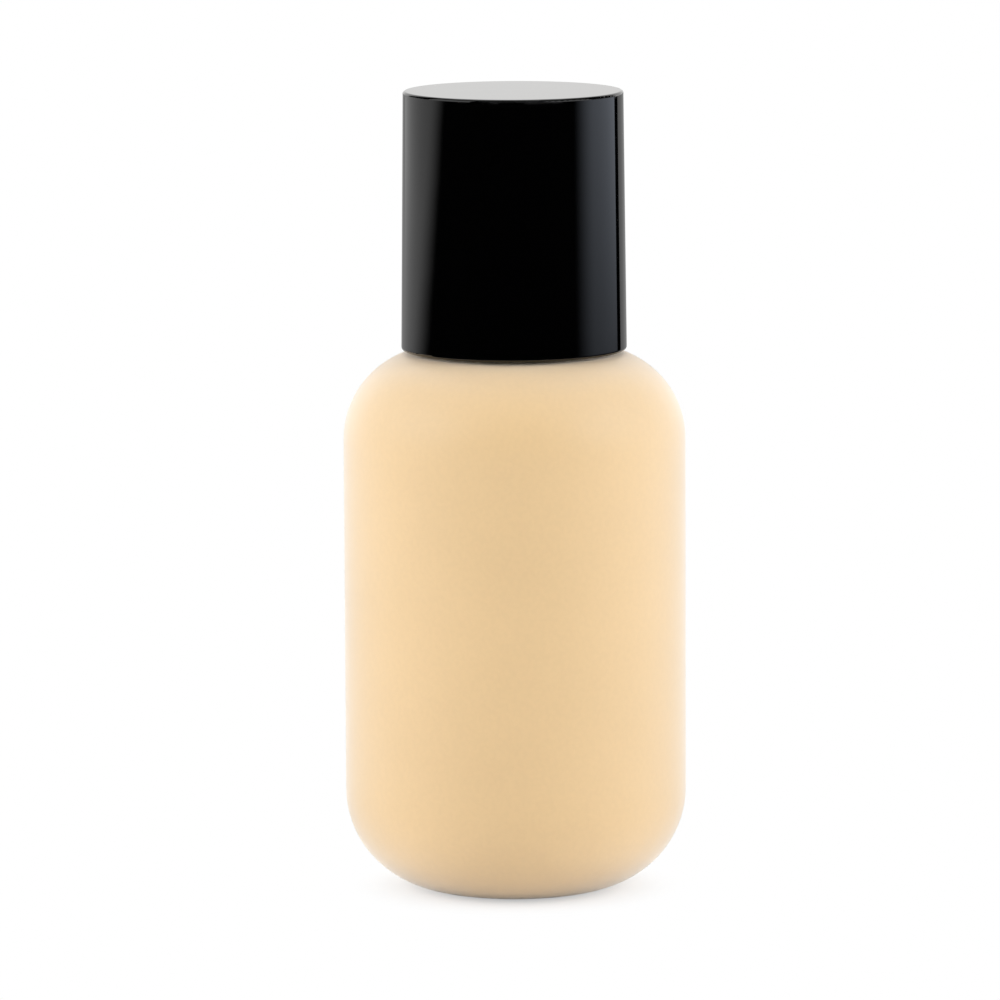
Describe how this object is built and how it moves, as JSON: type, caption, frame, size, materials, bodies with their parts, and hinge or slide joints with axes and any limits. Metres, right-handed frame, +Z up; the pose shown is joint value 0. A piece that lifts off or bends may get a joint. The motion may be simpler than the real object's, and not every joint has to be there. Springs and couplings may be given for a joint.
{
  "type": "foundation bottle",
  "caption": "Round-shouldered matte cosmetic bottle with a smooth, glossy, slightly tapered overcap that pulls off a screw-on finger pump.",
  "frame": {"origin": "centre of the ring that the bottle stands on", "axes": "+Z up along the bottle's axis, -Y to the front, where the pump's spout points, +X to the right seen from the front"},
  "size_m": [0.0354, 0.0354, 0.083],
  "materials": {
    "matte_cream": "matte",
    "gloss_black": "gloss",
    "black_moulding": "satin",
    "natural_polypropylene": "satin",
    "piston_white": "satin",
    "clear_tube": "satin",
    "gasket_foam": "matte",
    "steel": "polished"
  },
  "bodies": {
    "bottle_body": {"bottle": "matte_cream"},
    "pump_unit": {"neck_gasket": "gasket_foam", "pump_housing": "natural_polypropylene", "dip_tube": "clear_tube", "return_spring": "steel", "stem_guide": "natural_polypropylene"},
    "collar_unit": {"threaded_collar": "black_moulding", "collar_sleeve": "gloss_black"},
    "overcap": {"overcap_liner": "black_moulding", "overcap_shell": "gloss_black"},
    "stem_unit": {"stem": "natural_polypropylene", "valve_poppet": "natural_polypropylene"},
    "piston_ring": {"piston": "piston_white"},
    "check_ball": {"inlet_ball": "steel"},
    "actuator": {"actuator_core": "black_moulding", "actuator_shell": "gloss_black"}
  },
  "joints": [
    {"name": "pump_rise", "type": "slide", "parent": "bottle_body", "child": "pump_unit", "axis": [0, 0, 1], "range_m": [0, 0.0037]},
    {"name": "collar_turn", "type": "hinge", "parent": "pump_unit", "child": "collar_unit", "pos_m": [0, 0, 0.0637], "axis": [0, 0, 1], "range_deg": [0, 630]},
    {"name": "overcap_pull", "type": "slide", "parent": "collar_unit", "child": "overcap", "axis": [0, 0, 1], "range_m": [0, 0.03]},
    {"name": "pump_press", "type": "slide", "parent": "pump_unit", "child": "stem_unit", "axis": [0, 0, -1], "range_m": [0, 0.004], "stiffness_N_per_m": 1000, "springref_m": -0.005, "deforming": ["return_spring"]},
    {"name": "head_swivel", "type": "hinge", "parent": "stem_unit", "child": "actuator", "pos_m": [0, 0, 0.0767], "axis": [0, 0, 1], "continuous": true},
    {"name": "piston_slip", "type": "slide", "parent": "stem_unit", "child": "piston_ring", "axis": [0, 0, 1], "range_m": [0, 0.0008]},
    {"name": "ball_lift", "type": "slide", "parent": "pump_unit", "child": "check_ball", "axis": [0, 0, 1], "range_m": [0, 0.0009]}
  ],
  "couplings": [
    {"joint": "pump_rise", "follows": "collar_turn", "m_per_rad": 0.00033423}
  ]
}
